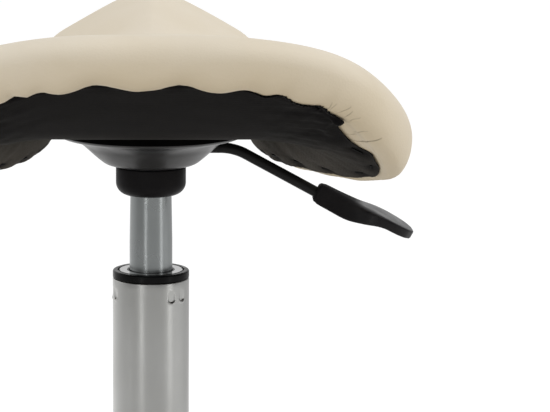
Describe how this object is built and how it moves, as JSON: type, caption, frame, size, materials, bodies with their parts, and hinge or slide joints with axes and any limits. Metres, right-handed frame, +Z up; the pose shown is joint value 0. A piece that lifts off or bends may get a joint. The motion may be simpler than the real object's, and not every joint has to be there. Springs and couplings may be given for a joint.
{
  "type": "saddle stool",
  "caption": "Saddle stool: an upholstered saddle seat on a gas-sprung swivel column with a release lever and a wheeled star base.",
  "frame": {"origin": "on the floor under the column's axis, at the middle of the star base", "axes": "+Z up, +Y the way the sitter faces (towards the saddle's narrow end), +X the sitter's right, where the lever is"},
  "size_m": [0.4878, 0.484, 0.493],
  "materials": {
    "base_chrome": "bright chrome plate on pressed steel",
    "column_chrome": "satin chrome plate on drawn tube",
    "lift_steel": "ground and chromed tube, grey",
    "zinc_steel": "zinc plated, dull",
    "black_enamel": "semi-gloss black powder coat",
    "black_plastic": "moulded black, fine grain",
    "wheel_plastic": "moulded black nylon, satin",
    "black_rubber": "dull black",
    "cream_vinyl": "smooth cream vinyl with a fine grain and a soft sheen",
    "dust_fabric": "thin black nonwoven",
    "birch_ply": "bare moulded plywood",
    "cushion_foam": "open-cell foam"
  },
  "bodies": {
    "base": {"star_base": "base_chrome", "column_tube": "column_chrome", "guide_bush": "black_plastic", "bearing_lower_washer": "zinc_steel", "caster_1_stem": "zinc_steel", "caster_2_stem": "zinc_steel", "caster_3_stem": "zinc_steel", "caster_4_stem": "zinc_steel", "caster_5_stem": "zinc_steel"},
    "bearing_cage": {"bearing_cage": "zinc_steel"},
    "lift_rod": {"piston_rod": "zinc_steel", "retaining_clip": "zinc_steel", "bearing_upper_washer": "zinc_steel", "stop_buffer": "black_rubber"},
    "seat": {"pressure_tube": "lift_steel", "socket_collar": "black_plastic", "taper_socket": "zinc_steel", "mounting_pan": "black_enamel", "mechanism_cover": "black_enamel", "lever_bracket": "zinc_steel", "lever_pivot_pin": "zinc_steel", "dust_cover": "dust_fabric", "seat_shell": "birch_ply", "seat_foam": "cushion_foam", "seat_cover": "cream_vinyl", "seat_bolt_1": "zinc_steel", "seat_bolt_2": "zinc_steel", "seat_bolt_3": "zinc_steel", "seat_bolt_4": "zinc_steel", "tee_nut_1": "zinc_steel", "tee_nut_2": "zinc_steel", "tee_nut_3": "zinc_steel", "tee_nut_4": "zinc_steel"},
    "lever": {"lever_rod": "black_enamel", "lever_paddle": "black_plastic"},
    "button": {"release_button": "zinc_steel"},
    "caster_1": {"caster_1_housing": "black_plastic", "caster_1_axle": "zinc_steel"},
    "caster_1_wheel_inner": {"caster_1_wheel_inner": "wheel_plastic"},
    "caster_1_wheel_outer": {"caster_1_wheel_outer": "wheel_plastic"},
    "caster_2": {"caster_2_housing": "black_plastic", "caster_2_axle": "zinc_steel"},
    "caster_2_wheel_inner": {"caster_2_wheel_inner": "wheel_plastic"},
    "caster_2_wheel_outer": {"caster_2_wheel_outer": "wheel_plastic"},
    "caster_3": {"caster_3_housing": "black_plastic", "caster_3_axle": "zinc_steel"},
    "caster_3_wheel_inner": {"caster_3_wheel_inner": "wheel_plastic"},
    "caster_3_wheel_outer": {"caster_3_wheel_outer": "wheel_plastic"},
    "caster_4": {"caster_4_housing": "black_plastic", "caster_4_axle": "zinc_steel"},
    "caster_4_wheel_inner": {"caster_4_wheel_inner": "wheel_plastic"},
    "caster_4_wheel_outer": {"caster_4_wheel_outer": "wheel_plastic"},
    "caster_5": {"caster_5_housing": "black_plastic", "caster_5_axle": "zinc_steel"},
    "caster_5_wheel_inner": {"caster_5_wheel_inner": "wheel_plastic"},
    "caster_5_wheel_outer": {"caster_5_wheel_outer": "wheel_plastic"}
  },
  "joints": [
    {"name": "seat_swivel", "type": "hinge", "parent": "base", "child": "lift_rod", "pos_m": [0, 0, 0.078], "axis": [0, 0, 1], "continuous": true},
    {"name": "bearing_roll", "type": "hinge", "parent": "base", "child": "bearing_cage", "pos_m": [0, 0, 0.074], "axis": [0, 0, 1], "continuous": true},
    {"name": "seat_lift", "type": "slide", "parent": "lift_rod", "child": "seat", "axis": [0, 0, 1], "range_m": [0, 0.13]},
    {"name": "lever_pull", "type": "hinge", "parent": "seat", "child": "lever", "pos_m": [0.027, 0, 0.4005], "axis": [0, -1, 0], "range_deg": [0, 3.3]},
    {"name": "button_press", "type": "slide", "parent": "seat", "child": "button", "axis": [0, 0, -1], "range_m": [0, 0.0016], "stiffness_N_per_m": 1000},
    {"name": "caster_1_swivel", "type": "hinge", "parent": "base", "child": "caster_1", "pos_m": [0, 0.232, 0.061], "axis": [0, 0, 1], "continuous": true},
    {"name": "caster_1_wheel_inner_spin", "type": "hinge", "parent": "caster_1", "child": "caster_1_wheel_inner", "pos_m": [0.0148, 0.207, 0.02452], "axis": [1, 0, 0], "continuous": true},
    {"name": "caster_1_wheel_outer_spin", "type": "hinge", "parent": "caster_1", "child": "caster_1_wheel_outer", "pos_m": [-0.0148, 0.207, 0.02452], "axis": [1, 0, 0], "continuous": true},
    {"name": "caster_2_swivel", "type": "hinge", "parent": "base", "child": "caster_2", "pos_m": [-0.22065, 0.07169, 0.061], "axis": [0, 0, 1], "continuous": true},
    {"name": "caster_2_wheel_inner_spin", "type": "hinge", "parent": "caster_2", "child": "caster_2_wheel_inner", "pos_m": [-0.20585, 0.04669, 0.02452], "axis": [1, 0, 0], "continuous": true},
    {"name": "caster_2_wheel_outer_spin", "type": "hinge", "parent": "caster_2", "child": "caster_2_wheel_outer", "pos_m": [-0.23544, 0.04669, 0.02452], "axis": [1, 0, 0], "continuous": true},
    {"name": "caster_3_swivel", "type": "hinge", "parent": "base", "child": "caster_3", "pos_m": [-0.13637, -0.18769, 0.061], "axis": [0, 0, 1], "continuous": true},
    {"name": "caster_3_wheel_inner_spin", "type": "hinge", "parent": "caster_3", "child": "caster_3_wheel_inner", "pos_m": [-0.12157, -0.21269, 0.02452], "axis": [1, 0, 0], "continuous": true},
    {"name": "caster_3_wheel_outer_spin", "type": "hinge", "parent": "caster_3", "child": "caster_3_wheel_outer", "pos_m": [-0.15117, -0.21269, 0.02452], "axis": [1, 0, 0], "continuous": true},
    {"name": "caster_4_swivel", "type": "hinge", "parent": "base", "child": "caster_4", "pos_m": [0.13637, -0.18769, 0.061], "axis": [0, 0, 1], "continuous": true},
    {"name": "caster_4_wheel_inner_spin", "type": "hinge", "parent": "caster_4", "child": "caster_4_wheel_inner", "pos_m": [0.15117, -0.21269, 0.02452], "axis": [1, 0, 0], "continuous": true},
    {"name": "caster_4_wheel_outer_spin", "type": "hinge", "parent": "caster_4", "child": "caster_4_wheel_outer", "pos_m": [0.12157, -0.21269, 0.02452], "axis": [1, 0, 0], "continuous": true},
    {"name": "caster_5_swivel", "type": "hinge", "parent": "base", "child": "caster_5", "pos_m": [0.22065, 0.07169, 0.061], "axis": [0, 0, 1], "continuous": true},
    {"name": "caster_5_wheel_inner_spin", "type": "hinge", "parent": "caster_5", "child": "caster_5_wheel_inner", "pos_m": [0.23544, 0.04669, 0.02452], "axis": [1, 0, 0], "continuous": true},
    {"name": "caster_5_wheel_outer_spin", "type": "hinge", "parent": "caster_5", "child": "caster_5_wheel_outer", "pos_m": [0.20585, 0.04669, 0.02452], "axis": [1, 0, 0], "continuous": true}
  ],
  "couplings": [
    {"joint": "bearing_roll", "follows": "seat_swivel", "ratio": 0.5},
    {"joint": "button_press", "follows": "lever_pull", "m_per_rad": 0.027}
  ]
}
